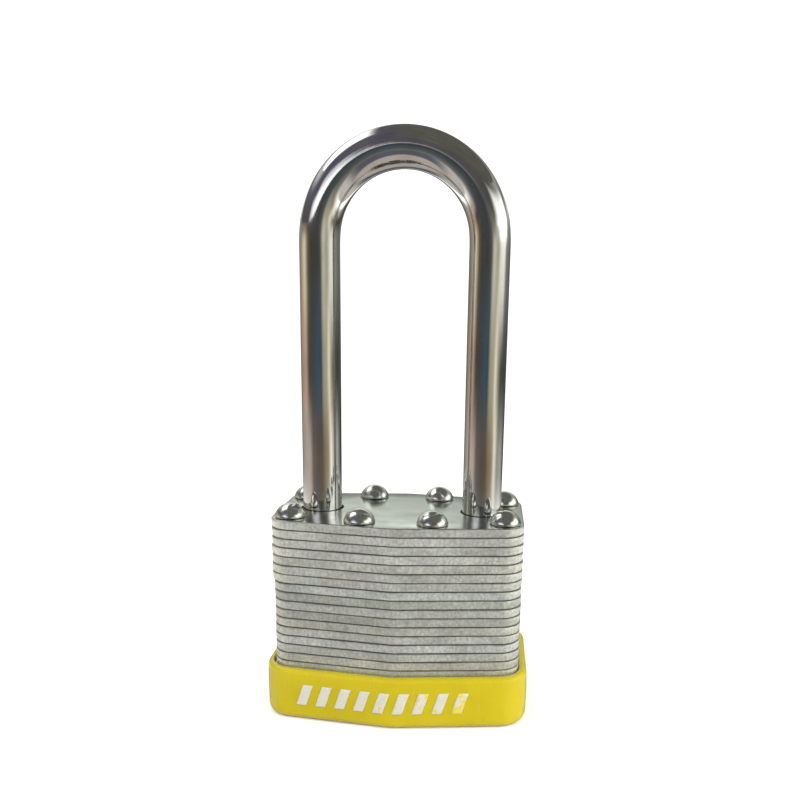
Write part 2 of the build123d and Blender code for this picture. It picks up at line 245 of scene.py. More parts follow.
zincLooks = {  # one finish for each kind of plate in the stack; seam is how strong its painted seam shade is
    "zincPlain": {"edge": (0.645, 0.662, 0.600, 1), "seed": 0.0, "seam": 0.88},
    "zincPale": {"edge": (0.715, 0.727, 0.660, 1), "seed": 3.1, "seam": 0.84},
    "zincDark": {"edge": (0.570, 0.588, 0.522, 1), "seed": 5.7, "seam": 0.70},
    "zincBlue": {"edge": (0.668, 0.700, 0.655, 1), "seed": 8.3, "seam": 1.0},
    "zincWarm": {"edge": (0.652, 0.658, 0.580, 1), "seed": 11.9, "seam": 0.86},
}
zincEdge = {  # the sheared rim, with a dull plated haze over the metal
    "metal": 0.74,
    "roughness": (0.34, 0.50),
    "speck": (0.10, 0.10, 0.09, 1),
    # painted shade and painted dark reflection for the gaps between plates
    "seamShade": (0.07, 0.07, 0.06, 1),
    "seamShadeFrom": (0.31, 0.42),  # where the painted seam shade starts, from mid plate, as a share of its height
}
zincFace = {
    "colour": (0.60, 0.62, 0.58, 1),
    "cloud": (0.50, 0.54, 0.51, 1),
    "scratch": (0.35, 0.36, 0.34, 1),
    "worn": (0.74, 0.75, 0.71, 1),
    "roughness": (0.15, 0.27),
}


def makeZinc(name, look, bottom, pitch):
    material, tree, shader = startMaterial(name)
    seed = look["seed"]
    surface = addNode(tree, "TexCoord").outputs["Normal"]
    up = addNode(tree, "SeparateXYZ", {0: surface}).outputs["Z"]
    onFace = ramp(tree, calc(tree, "ABSOLUTE", up), 0.80, 0.97)
    # sheared edge: fine mottling, upright shear lines and dark specks
    mottle = useGroup(tree, grainGroup, Scale=2.3, Detail=9.0, Seed=seed)["Value"]
    cloud = useGroup(tree, grainGroup, Scale=0.16, Detail=3.0, Seed=seed + 1)["Value"]
    shear = useGroup(tree, grainGroup, Scale=3.0, Detail=4.0, Stretch=(1, 1, 0.12), Seed=seed + 2)["Value"]
    specks = useGroup(tree, speckGroup, Scale=1.6, Size=0.16, Patchy=0.52, Seed=seed)["Mask"]
    shade = times(tree, ramp(tree, mottle, 0.3, 0.7, 0.76, 1.20), ramp(tree, cloud, 0.3, 0.7, 0.80, 1.16))
    shade = times(tree, shade, ramp(tree, shear, 0.35, 0.65, 0.93, 1.06))
    shadeColour = addNode(tree, "CombineColor", {0: shade, 1: shade, 2: shade}).outputs[0]
    edgeColour = blendColour(tree, 1.0, look["edge"], shadeColour, "MULTIPLY")
    edgeColour = blendColour(tree, specks, edgeColour, zincEdge["speck"])
    # painted shade and painted dark reflection in the seams between plates, for the shadow gap, heavier in some
    # stretches than in others
    height = addNode(tree, "SeparateXYZ", {0: objectMm(tree)}).outputs["Z"]
    part = calc(tree, "FRACT", calc(tree, "DIVIDE", minus(tree, height, bottom), pitch))
    toSeam = calc(tree, "ABSOLUTE", minus(tree, part, 0.5))
    run = useGroup(tree, grainGroup, Scale=0.22, Detail=4.0, Stretch=(1, 1, 3), Seed=seed + 4)["Value"]
    start = ramp(tree, run, 0.35, 0.65, *zincEdge["seamShadeFrom"])
    seamShade = times(tree, ramp(tree, toSeam, start, 0.5), look["seam"])
    edgeColour = blendColour(tree, seamShade, edgeColour, zincEdge["seamShade"])
    # plated face: soft clouding and rubbed patches
    bloom = useGroup(tree, grainGroup, Scale=0.22, Detail=5.0, Seed=seed + 5)["Value"]
    fine = useGroup(tree, grainGroup, Scale=6.0, Detail=3.0, Seed=seed + 6)["Value"]
    faceColour = blendColour(tree, ramp(tree, bloom, 0.35, 0.65), zincFace["colour"], zincFace["cloud"])
    hairs = useGroup(tree, scratchGroup, Scale=0.9, Width=0.006, Seed=seed)["Mask"]
    faceColour = blendColour(tree, times(tree, hairs, 0.25), faceColour, zincFace["scratch"])
    colour = blendColour(tree, onFace, edgeColour, faceColour)
    worn = useGroup(tree, edgeGroup, Radius=0.25, Low=0.05, High=0.35, Seed=seed)["Mask"]
    colour = blendColour(tree, times(tree, worn, 0.18), colour, zincFace["worn"])
    tree.links.new(colour, shader.inputs["Base Color"])
    tree.links.new(ramp(tree, onFace, 0.0, 1.0, zincEdge["metal"], 1.0), shader.inputs["Metallic"])
    faceRough = ramp(tree, bloom, 0.3, 0.7, *zincFace["roughness"])
    edgeRough = ramp(tree, mottle, 0.3, 0.7, *zincEdge["roughness"])
    onEdge = minus(tree, 1.0, onFace)
    rough = plus(tree, times(tree, faceRough, onFace), times(tree, edgeRough, onEdge))
    tree.links.new(rough, shader.inputs["Roughness"])
    edgeHeight = plus(tree, times(tree, mottle, 0.8), times(tree, shear, 0.4))
    edgeHeight = minus(tree, edgeHeight, times(tree, specks, 0.5))
    faceHeight = plus(tree, times(tree, fine, 0.06), times(tree, bloom, 0.35))
    high = plus(tree, times(tree, faceHeight, onFace), times(tree, edgeHeight, onEdge))
    bumpOn(tree, shader, high, 0.05, 0.8)
    return material


polishLooks = {  # bright metals: colour, darker colour, roughness low and high, pit size, waviness
    "chromePlate": {"colour": (0.80, 0.80, 0.80, 1), "dull": (0.64, 0.63, 0.60, 1), "roughness": (0.03, 0.10),
                    "pits": 0.08, "wave": 0.016, "seed": 2.0},
    "rivetPlate": {"colour": (0.88, 0.91, 0.85, 1), "dull": (0.66, 0.69, 0.63, 1), "roughness": (0.15, 0.27),
                   "pits": 0.13, "wave": 0.030, "seed": 6.0},
    "springWire": {"colour": (0.50, 0.50, 0.50, 1), "dull": (0.30, 0.30, 0.31, 1), "roughness": (0.22, 0.38),
                   "pits": 0.08, "wave": 0.01, "seed": 14.0},
    "leverSteel": {"colour": (0.42, 0.42, 0.43, 1), "dull": (0.24, 0.24, 0.26, 1), "roughness": (0.28, 0.45),
                   "pits": 0.12, "wave": 0.02, "seed": 17.0},
    "turnedBrass": {"colour": (0.80, 0.60, 0.28, 1), "dull": (0.52, 0.35, 0.14, 1), "roughness": (0.20, 0.36),
                    "pits": 0.08, "wave": 0.01, "seed": 21.0},
}


def makePolished(name, look):
    material, tree, shader = startMaterial(name, Metallic=1.0)
    seed = look["seed"]
    smears = useGroup(tree, grainGroup, Scale=0.3, Detail=6.0, Stretch=(1, 1, 0.35), Seed=seed)["Value"]
    fine = useGroup(tree, grainGroup, Scale=5.0, Detail=3.0, Seed=seed + 1)["Value"]
    long = useGroup(tree, grainGroup, Scale=0.5, Detail=2.0, Stretch=(1, 1, 0.2), Seed=seed + 2)["Value"]
    pits = useGroup(tree, speckGroup, Scale=1.1, Size=look["pits"], Patchy=0.50, Seed=seed)["Mask"]
    hairs = useGroup(tree, scratchGroup, Scale=0.7, Width=0.004, Seed=seed)["Mask"]
    worn = useGroup(tree, edgeGroup, Radius=0.2, Low=0.05, High=0.4, Seed=seed)["Mask"]
    colour = blendColour(tree, ramp(tree, smears, 0.45, 0.75), look["colour"], look["dull"])
    colour = blendColour(tree, times(tree, pits, 0.8), colour, (0.12, 0.11, 0.10, 1))
    colour = blendColour(tree, times(tree, worn, 0.35), colour, (0.86, 0.86, 0.84, 1))
    tree.links.new(colour, shader.inputs["Base Color"])
    low, high = look["roughness"]
    rough = ramp(tree, smears, 0.35, 0.7, low, high)
    rough = plus(tree, rough, times(tree, hairs, 0.12))
    tree.links.new(plus(tree, rough, times(tree, pits, 0.3)), shader.inputs["Roughness"])
    height = plus(tree, times(tree, long, look["wave"]), times(tree, fine, 0.0015))
    height = minus(tree, height, times(tree, pits, 0.02))
    bumpOn(tree, shader, height, 1.0)
    return material


vinylLook = {"colour": (0.425, 0.343, 0.004, 1), "deep": (0.37, 0.295, 0.004, 1), "scuff": (0.50, 0.45, 0.08, 1),
             "shade": (0.40, 0.34, 0.02, 1), "roughness": (0.15, 0.25), "seed": 30.0}


def makeVinyl(name, look):
    material, tree, shader = startMaterial(name, **{"Specular IOR Level": 0.38, "Coat Weight": 0.28,
                                                    "Coat Roughness": 0.07, "Subsurface Weight": 0.12,
                                                    "Subsurface Scale": 1.5 * mm,
                                                    "Subsurface Radius": (1.0, 0.6, 0.1)})
    seed = look["seed"]
    cloud = useGroup(tree, grainGroup, Scale=0.12, Detail=4.0, Seed=seed)["Value"]
    peel = useGroup(tree, grainGroup, Scale=1.2, Detail=2.0, Seed=seed + 1)["Value"]
    fine = useGroup(tree, grainGroup, Scale=9.0, Detail=3.0, Seed=seed + 2)["Value"]
    hairs = useGroup(tree, scratchGroup, Scale=0.6, Width=0.005, Seed=seed)["Mask"]
    specks = useGroup(tree, speckGroup, Scale=0.9, Size=0.07, Patchy=0.55, Seed=seed)["Mask"]
    worn = useGroup(tree, edgeGroup, Radius=0.6, Low=0.04, High=0.4, Seed=seed)["Mask"]
    colour = blendColour(tree, ramp(tree, cloud, 0.35, 0.7), look["colour"], look["deep"])
    colour = blendColour(tree, times(tree, worn, 0.35), colour, look["scuff"])
    colour = blendColour(tree, times(tree, specks, 0.6), colour, (0.25, 0.18, 0.03, 1))
    up = addNode(tree, "SeparateXYZ", {0: addNode(tree, "TexCoord").outputs["Normal"]}).outputs["Z"]
    stackShade = times(tree, ramp(tree, up, 0.75, 1.0), 0.7)  # painted shade on the rim's upward faces beside the plates, for the shadow of the stack
    colour = blendColour(tree, stackShade, colour, look["shade"])
    tree.links.new(colour, shader.inputs["Base Color"])
    rough = plus(tree, ramp(tree, peel, 0.3, 0.7, *look["roughness"]), times(tree, hairs, 0.15))
    tree.links.new(rough, shader.inputs["Roughness"])
    height = plus(tree, times(tree, peel, 0.007), times(tree, fine, 0.0006))
    bumpOn(tree, shader, minus(tree, height, times(tree, hairs, 0.004)), 1.0)
    return material


printLook = {"colour": (0.62, 0.60, 0.51, 1), "dull": (0.50, 0.48, 0.40, 1), "under": (0.52, 0.42, 0.03, 1),
             "seed": 41.0}


def makePrint(name, look):
    # silver foil over the moulding, rubbed through here and there, most of all at the edges
    material, tree, shader = startMaterial(name, **{"Specular IOR Level": 0.5})
    seed = look["seed"]
    patch = useGroup(tree, grainGroup, Scale=0.8, Detail=6.0, Seed=seed)["Value"]
    fine = useGroup(tree, grainGroup, Scale=5.0, Detail=4.0, Seed=seed + 1)["Value"]
    worn = useGroup(tree, edgeGroup, Radius=0.25, Low=0.05, High=0.45, Seed=seed)["Mask"]
    across = addNode(tree, "SeparateXYZ", {0: objectMm(tree)}).outputs["X"]
    limit = ramp(tree, across, -14.0, 12.0, 0.68, 0.52)  # more is rubbed off towards the right
    rubbed = ramp(tree, patch, limit, plus(tree, limit, 0.05))
    rubbed = calc(tree, "MAXIMUM", rubbed, times(tree, worn, 0.7))
    silver = blendColour(tree, ramp(tree, fine, 0.3, 0.7), look["colour"], look["dull"])
    tree.links.new(blendColour(tree, rubbed, silver, look["under"]), shader.inputs["Base Color"])
    tree.links.new(ramp(tree, rubbed, 0.0, 1.0, 0.25, 0.0), shader.inputs["Metallic"])
    tree.links.new(ramp(tree, fine, 0.3, 0.7, 0.30, 0.5), shader.inputs["Roughness"])
    height = minus(tree, times(tree, fine, 0.01), times(tree, rubbed, 0.03))
    bumpOn(tree, shader, height, 1.0)
    return material


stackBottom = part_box("bottom_plate")[0].z
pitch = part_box("bottom_plate")[1].z - stackBottom
finishes = {name: makeZinc(name, look, stackBottom / mm, pitch / mm) for name, look in zincLooks.items()}
finishes.update({name: makePolished(name, look) for name, look in polishLooks.items()})
finishes["yellowVinyl"] = makeVinyl("yellowVinyl", vinylLook)
finishes["silverPrint"] = makePrint("silverPrint", printLook)
print("materials made:", len(finishes))


# mesh helpers
def addPiece(name, mesh, body, finish, creaseAngle=35):
    for face in mesh.polygons:
        face.use_smooth = True
    mesh.set_sharp_from_angle(angle=math.radians(creaseAngle))
    made = bpy.data.objects.new(name, mesh)
    bpy.context.scene.collection.objects.link(made)
    mesh.materials.append(finishes[finish])
    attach(made, body)
    return made


def refinish(name, finish):
    nodes[name].data.materials.clear()
    nodes[name].data.materials.append(finishes[finish])


def meshFrom(bm, name):
    bmesh.ops.recalc_face_normals(bm, faces=bm.faces)
    mesh = bpy.data.meshes.new(name)
    bm.to_mesh(mesh)
    bm.free()
    return mesh


def ringVerts(bm, points):
    return [bm.verts.new(Vector(p) * mm) for p in points]


def bridge(bm, low, high):  # a closed band of quads between two loops with the same count
    for here in range(len(low)):
        after = (here + 1) % len(low)
        bm.faces.new((low[here], low[after], high[after], high[here]))


plan = {  # the six-sided outline of the plates, mm
    "ridgeDepth": 24.4,
    "sideDepth": 19.3,
    "cornerRound": 3.5,
    "ridgeRound": 8.0,
    "arcSteps": 14,
    "runSteps": 30,
}
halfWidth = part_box("roof_plate_1")[1].x / mm
slope = math.atan((plan["ridgeDepth"] - plan["sideDepth"]) / (2 * halfWidth))


def outlineLoop(grow):
    # the outline grown by some mm, always with the same count of points, so that loops can be bridged
    wide = halfWidth + grow
    ridge = plan["ridgeDepth"] / 2 + grow / math.cos(slope)
    side = ridge - wide * math.tan(slope)
    cornerRound = max(plan["cornerRound"] + grow, 0.6)
    ridgeRound = plan["ridgeRound"] + grow
    corners = [(0, -ridge, ridgeRound), (wide, -side, cornerRound), (wide, side, cornerRound),
               (0, ridge, ridgeRound), (-wide, side, cornerRound), (-wide, -side, cornerRound)]
    arcs = []
    for number, (x, y, radius) in enumerate(corners):
        here = Vector((x, y))
        before = (here - Vector(corners[number - 1][:2])).normalized()
        after = (Vector(corners[(number + 1) % 6][:2]) - here).normalized()
        turn = before.angle(after)
        start = here - before * radius * math.tan(turn / 2)
        centre = start + Vector((-before.y, before.x)) * radius
        first = math.atan2(start.y - centre.y, start.x - centre.x)
        arcs.append([centre + radius * Vector((math.cos(first + turn * step / plan["arcSteps"]),
                                               math.sin(first + turn * step / plan["arcSteps"])))
                     for step in range(plan["arcSteps"] + 1)])
    loop = []
    for number, arc in enumerate(arcs):
        loop += arc
        end, start = arc[-1], arcs[(number + 1) % 6][0]
        loop += [end.lerp(start, step / plan["runSteps"]) for step in range(1, plan["runSteps"])]
    return loop


def outward(loop, index):  # the direction away from the loop at one of its points
    ahead = loop[(index + 1) % len(loop)] - loop[index - 1]
    return Vector((ahead.y, -ahead.x)).normalized()


# plates: the rim is rebuilt as a sheared edge, the holes are the CAD node's own
plateLook = {
    "rim": [(0.0, 0.26), (0.015, 0.17), (0.06, 0.08), (0.14, 0.025), (0.26, 0.0), (0.60, 0.0), (0.66, 0.014),
            (0.94, 0.03), (1.20, 0.05), (1.32, 0.08), (1.40, 0.14), (1.45, 0.22)],  # depth, inset, mm
    "wobble": 0.018,  # slow waviness of the whole rim
    "tear": 0.030,  # roughness of the lower, torn band
    "tornFrom": 0.6,  # depth where the torn band starts, and over which it comes in
    "tornOver": 0.3,
    "slip": 0.05,  # how far a plate sits off the stack's line
    "shortFrom": 7,  # from this plate down the left end is a little short
    "short": 0.34,
    "shortReach": 4,  # how far in from the end
    "seed": 7,
}


def holeLoops(node, level):
    # the inner edges of a CAD plate's flat face at this height, as loops of (x, y) in mm
    bm = bmesh.new()
    bm.from_mesh(node.data)
    bmesh.ops.remove_doubles(bm, verts=bm.verts, dist=1e-7)
    flat = [f for f in bm.faces if all(abs(v.co.z - level) < 1e-6 for v in f.verts)]
    count = {}
    for face in flat:
        for edge in face.edges:
            count[edge] = count.get(edge, 0) + 1
    border = {edge for edge, uses in count.items() if uses == 1}
    loops = []
    while border:
        edge = border.pop()
        first, here = edge.verts
        loop = [first.co.copy(), here.co.copy()]
        while here != first:
            edge = next(e for e in here.link_edges if e in border)
            border.discard(edge)
            here = edge.other_vert(here)
            if here != first:
                loop.append(here.co.copy())
        loops.append([Vector((p.x, p.y)) / mm for p in loop])
    bm.free()
    loops.sort(key=lambda loop: max(p.x for p in loop))
    return loops[:-1]


def closedEdges(bm, ring):
    return [bm.edges.get((ring[i - 1], ring[i])) or bm.edges.new((ring[i - 1], ring[i])) for i in range(len(ring))]


def makePlate(name, number, finish):
    node = nodes[name]
    low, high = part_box(name)
    top = high.z / mm
    dice = random.Random(plateLook["seed"] * 100 + number)
    slip = plateLook["slip"] if number else 0.0
    shift = Vector((dice.uniform(-slip, slip), dice.uniform(-slip, slip)))
    bm = bmesh.new()
    rings = []
    for depth, inset in plateLook["rim"]:
        loop = outlineLoop(-inset)
        torn = max(0.0, min(1.0, (depth - plateLook["tornFrom"]) / plateLook["tornOver"]))
        points = []
        reach = plateLook["shortReach"]
        for index, point in enumerate(loop):
            slow = noise.noise(Vector((point.x * 0.12, point.y * 0.12, number * 3.7)))
            rough = noise.fractal(Vector((point.x * 1.3, point.y * 1.3, depth * 1.2 + number * 9.1)), 1.0, 2.0, 3)
            move = plateLook["wobble"] * slow - plateLook["tear"] * torn * (0.5 + 0.5 * rough)
            place = point + outward(loop, index) * move + shift
            if number >= plateLook["shortFrom"]:
                end = max(0.0, min(1.0, (-place.x - halfWidth + reach) / reach))
                place.x += plateLook["short"] * end**2
            points.append((place.x, place.y, top - depth))
        rings.append(ringVerts(bm, points))
    for upper, lower in zip(rings, rings[1:]):
        bridge(bm, upper, lower)
    holes = holeLoops(node, high.z)
    for level, rim in ((top, rings[0]), (low.z / mm, rings[-1])):
        edges = closedEdges(bm, rim)
        walls = []
        for hole in holes:
            walls.append(ringVerts(bm, [(p.x, p.y, level) for p in hole]))
            edges += closedEdges(bm, walls[-1])
        bmesh.ops.triangle_fill(bm, use_beauty=True, use_dissolve=False, edges=edges)
        if level == top:
            upperWalls = walls
    for upper, lower in zip(upperWalls, walls):
        bridge(bm, upper, lower)
    piece = addPiece(name + "_formed", meshFrom(bm, name + "_formed"), "body", finish, 30)
    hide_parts(name)


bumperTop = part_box("bumper")[1].z
plateNames = [n for n in nodes if n.endswith("_plate") or "_plate_" in n]
plateNames.sort(key=lambda n: -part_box(n)[1].z)
finishOrder = ["zincPlain", "zincPale", "zincPlain", "zincPale", "zincWarm", "zincPlain", "zincPlain", "zincBlue",
               "zincDark", "zincPlain", "zincDark", "zincWarm", "zincPlain", "zincBlue", "zincPlain", "zincWarm",
               "zincPlain", "zincPlain", "zincPlain", "zincPlain", "zincPlain"]
for number, name in enumerate(plateNames):
    finish = finishOrder[number % len(finishOrder)]
    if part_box(name)[1].z > bumperTop:
        makePlate(name, number, finish)
    else:
        refinish(name, finish)
print("plates formed:", len(plateNames))


# rivets: struck heads, none quite like the next
rivetLook = {
    "shank": 1.5,
    "tail": 2.15,
    "tailHeight": 0.65,
    "lip": 0.22,  # height of the head's rolled lip
    "steps": 56,
    "dent": 0.035,
    "lean": 0.02,  # mm of rise per mm, at most
    "domeSteps": 14,
    "seed": 11,
}


def quadrantRivets(node):
    # centre, head radius and head height of the rivet in each quarter of the plan
    found = []
    for sx in (-1, 1):
        for sy in (-1, 1):
            spots = [v.co / mm for v in nodes[node].data.vertices if v.co.x * sx > 0 and v.co.y * sy > 0]
            lowX, highX = min(p.x for p in spots), max(p.x for p in spots)
            lowY, highY = min(p.y for p in spots), max(p.y for p in spots)
            rise = max(p.z for p in spots) - stackTop / mm
            found.append(((lowX + highX) / 2, (lowY + highY) / 2, (highX - lowX) / 2, rise))
    return found


def headProfile(radius, rise):
    # radius and height above the top plate, from under the rim up over the dome
    lip = rivetLook["lip"]
    under = [(radius - 0.30, 0.02), (radius - 0.10, 0.05), (radius - 0.02, 0.12), (radius, lip)]
    dome = rise - lip
    ball = (radius**2 + dome**2) / (2 * dome)
    full = math.asin(min(1.0, radius / ball))
    over = []
    for step in range(1, rivetLook["domeSteps"] + 1):
        tilt = full * (1 - step / rivetLook["domeSteps"])
        over.append((ball * math.sin(tilt), lip + dome - ball * (1 - math.cos(tilt))))
    return under + over[:-1], rise


def makeRivet(name, spot, node, number):
    x, y, radius, rise = spot
    dice = random.Random(rivetLook["seed"] * 50 + number)
    most = rivetLook["lean"]
    lean = Vector((dice.uniform(-most, most), dice.uniform(-most, most)))
    top, bottom = stackTop / mm, stackBottom / mm
    profile, peak = headProfile(radius, rise)
    steps = rivetLook["steps"]
    bm = bmesh.new()

    def ring(r, z, dent):
        points = []
        for step in range(steps):
            a = 2 * math.pi * step / steps
            px, py = r * math.cos(a), r * math.sin(a)
            push = dent * noise.noise(Vector((px * 0.7 + number * 5, py * 0.7, z * 0.5)))
            tip = dent / rivetLook["dent"] * (lean.x * px + lean.y * py)
            points.append((x + px, y + py, z + push + tip))
        return ringVerts(bm, points)

    rings = [ring(rivetLook["tail"], bottom, 0.0), ring(rivetLook["shank"], bottom + rivetLook["tailHeight"], 0.0),
             ring(rivetLook["shank"], top, 0.0)]
    rings += [ring(r, top + z, rivetLook["dent"] * min(1.0, z / 0.4)) for r, z in profile]
    for low, high in zip(rings, rings[1:]):
        bridge(bm, low, high)
    peakPush = rivetLook["dent"] * noise.noise(Vector((number * 5.0, 0, (top + peak) * 0.5)))
    middle = bm.verts.new(Vector((x, y, top + peak + min(peakPush, 0.0))) * mm)
    for step in range(steps):
        bm.faces.new((rings[-1][step], rings[-1][(step + 1) % steps], middle))
    bm.faces.new(rings[0][::-1])
    piece = addPiece(name, meshFrom(bm, name), "body", "rivetPlate", 40)
    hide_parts(node)


for group in ("corner_rivets", "face_rivets"):
    for number, spot in enumerate(quadrantRivets(group)):
        makeRivet(f"{group[:-1]}_{number + 1}", spot, group, number + (4 if group == "face_rivets" else 0))
print("rivets struck: 8")


# shackle: one smooth bent rod, with the CAD node's own neck, groove and notches
shackleLook = {"around": 96, "archSteps": 160, "legSteps": 8, "chamfer": 0.06, "ease": 0.10}  # mm, ease as a share


def legLevels(spots, side, legX):
    # the heights below the top plate where a leg changes, each with the least and greatest radius there and
    # the least reach inward
    levels = {}
    for spot in spots:
        if spot.x * side > 0 and spot.z < stackTop / mm:
            inward = legX - side * spot.x
            levels.setdefault(round(spot.z, 3), []).append((inward, math.hypot(inward, spot.y)))
    return [(z, min(r for _, r in ring), max(r for _, r in ring), min(u for u, _ in ring))
            for z, ring in sorted(levels.items())]


def legStations(levels, rod):
    # height, radius and flat wall of each ring from the leg's end up to the top plate
    chamfer = shackleLook["chamfer"]
    stations = []
    wide = True
    for z, least, most, _ in levels[:-2]:
        if most - least < chamfer:
            stations.append((z, most, None))
        elif wide:
            stations += [(z - chamfer, most, None), (z, most - chamfer, None), (z, least, None)]
            wide = False
        else:
            stations += [(z, least, None), (z, most - chamfer, None), (z + chamfer, most, None)]
            wide = True
    (low, *_, wall), (high, *_) = levels[-2:]
    return stations + [(low, rod, None), (low, rod, wall), (high, rod, wall), (high, rod, None)]


def archLine(halfSpan):
    # the bend's centre line, which eases in and out of the legs: across, up and heading of each step
    steps = shackleLook["archSteps"]
    pulls = [min(1.0, min(k + 0.5, steps - k - 0.5) / steps / shackleLook["ease"]) for k in range(steps)]
    across, up, heading = 0.0, 0.0, math.pi / 2
    line = [(across, up, heading)]
    for pull in pulls:
        turn = math.pi * pull / sum(pulls)
        across += math.cos(heading - turn / 2)
        up += math.sin(heading - turn / 2)
        heading -= turn
        line.append((across, up, heading))
    size = 2 * halfSpan / across
    return [(x * size - halfSpan, z * size, heading) for x, z, heading in line]


def makeShackle():
    low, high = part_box("shackle")
    rod = (high.y - low.y) / 2 / mm
    legX = high.x / mm - rod
    arch = archLine(legX)
    archZ = high.z / mm - rod - max(z for _, z, _ in arch)
    spots = [v.co / mm for v in nodes["shackle"].data.vertices]
    around = shackleLook["around"]
    bm = bmesh.new()

    def ring(x, z, inwardX, inwardZ, radius, wall=None):
        points = []
        for step in range(around):
            a = 2 * math.pi * step / around
            inward = radius * math.cos(a)
            if wall is not None:
                inward = min(inward, wall)
            points.append((x + inward * inwardX, radius * math.sin(a), z + inward * inwardZ))
        return ringVerts(bm, points)

    def leg(side):
        made = [ring(side * legX, z, -side, 0, radius, wall)
                for z, radius, wall in legStations(legLevels(spots, side, legX), rod)]
        top = stackTop / mm
        for step in range(shackleLook["legSteps"]):
            made.append(ring(side * legX, top + (archZ - top) * step / shackleLook["legSteps"], -side, 0, rod))
        return made

    rings = leg(-1)
    rings += [ring(x, archZ + z, math.sin(heading), -math.cos(heading), rod) for x, z, heading in arch]
    rings += leg(1)[::-1]
    for here, after in zip(rings, rings[1:]):
        bridge(bm, here, after)
    bm.faces.new(rings[0])
    bm.faces.new(rings[-1][::-1])
    mesh = meshFrom(bm, "shackle_formed")
    piece = addPiece("shackle_formed", mesh, "shackle", "chromePlate")
    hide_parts("shackle")


makeShackle()
print("shackle bent")


# bumper: a moulded cup with soft roundings and slightly uneven walls
bumperLook = {
    "wall": 1.4,
    "lip": 4.0,
    "baseRound": 1.5,
    "rimRound": 0.75,
    "inside": 0.04,
    "bulge": 0.05,
    "wave": 0.05,
    "tight": 0.38,  # how much closer the left end sits
    "tightFrom": 3,  # how far in from the end it starts, and over which it comes in
    "tightOver": 4,
    "outerFrom": 0.3,  # mm outside the plates where the wall starts to wave, and over which that comes in
    "outerOver": 0.6,
}


def arcSection(grow, z, radius, start, end, steps):
    return [(grow + radius * math.cos(math.radians(start + (end - start) * i / steps)),
             z + radius * math.sin(math.radians(start + (end - start) * i / steps))) for i in range(steps + 1)]


def bumperSection():
    # how far each loop stands outside the plates, and its height, once round the wall's section
    look = bumperLook
    top = bumperTop / mm
    floor = stackBottom / mm
    wall, inside = look["wall"], look["inside"]
    lip, baseRound, rimRound = look["lip"], look["baseRound"], look["rimRound"]
    section = [(-lip, 0.15), (-lip + 0.06, 0.04), (-lip + 0.2, 0.0), (-2.5, 0.0), (-1.0, 0.0)]
    section += arcSection(wall - baseRound, baseRound, baseRound, -90, 0, 10)
    sideLow, sideHigh = baseRound, top - rimRound
    for step in range(1, 8):
        share = step / 8
        section.append((wall + look["bulge"] * math.sin(math.pi * share), sideLow + (sideHigh - sideLow) * share))
    section += arcSection(wall - rimRound, sideHigh, rimRound, 0, 90, 8)
    section += [(inside + 0.22, top), (inside + 0.07, top - 0.05), (inside, top - 0.2)]
    section += [(inside, floor + 2.0), (inside, floor), (-lip + 0.2, floor), (-lip, floor - 0.2)]
    return section


def makeBumper():
    bm = bmesh.new()
    loops = []
    for grow, z in bumperSection():
        loop = outlineLoop(grow)
        outer = max(0.0, min(1.0, (grow - bumperLook["outerFrom"]) / bumperLook["outerOver"]))
        points = []
        for index, point in enumerate(loop):
            push = bumperLook["wave"] * outer * noise.noise(Vector((point.x * 0.13, point.y * 0.13, z * 0.15)))
            place = point + outward(loop, index) * min(push, 0.0)
            end = (-place.x - halfWidth + bumperLook["tightFrom"]) / bumperLook["tightOver"]
            end = max(0.0, min(1.0, end))
            points.append((place.x + bumperLook["tight"] * outer * end**2, place.y, z))
        loops.append(ringVerts(bm, points))
    for here, after in zip(loops, loops[1:] + loops[:1]):
        bridge(bm, here, after)
    mesh = meshFrom(bm, "bumper_moulded")
    piece = addPiece("bumper_moulded", mesh, "body", "yellowVinyl", 50)
    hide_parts("bumper")


makeBumper()
print("bumper moulded")


# marks: plain slanted bars standing on the bumper's front, with rounded edges
markLook = {"relief": 0.25, "round": 0.28, "root": 0.12, "blot": 0.03, "across": 14, "up": 22}  # mm and steps


def markBars():
    # each bar's low and high stretch along X, from the CAD node's separate solids
    bm = bmesh.new()
    bm.from_mesh(nodes["bumper_marks"].data)
    bmesh.ops.remove_doubles(bm, verts=bm.verts, dist=1e-7)
    left = set(bm.verts)
    bars = []
    while left:
        found, edge = set(), {left.pop()}
        while edge:
            found |= edge
            edge = {e.other_vert(v) for v in edge for e in v.link_edges} - found
        left -= found
        low, high = min(v.co.z for v in found), max(v.co.z for v in found)
        ends = [[v.co.x / mm for v in found if abs(v.co.z - level) < 1e-6] for level in (low, high)]
        bars.append((low / mm, high / mm, min(ends[0]), max(ends[0]), min(ends[1]), max(ends[1])))
    bm.free()
    return sorted(bars, key=lambda bar: bar[2])


def frontAt(loop, x):
    # where the front of an outline crosses this x
    for here, after in zip(loop, loop[1:]):
        if here.y < 0 and after.y < 0 and here.x <= x <= after.x:
            return here.lerp(after, (x - here.x) / max(after.x - here.x, 1e-9)).y
    return loop[0].y


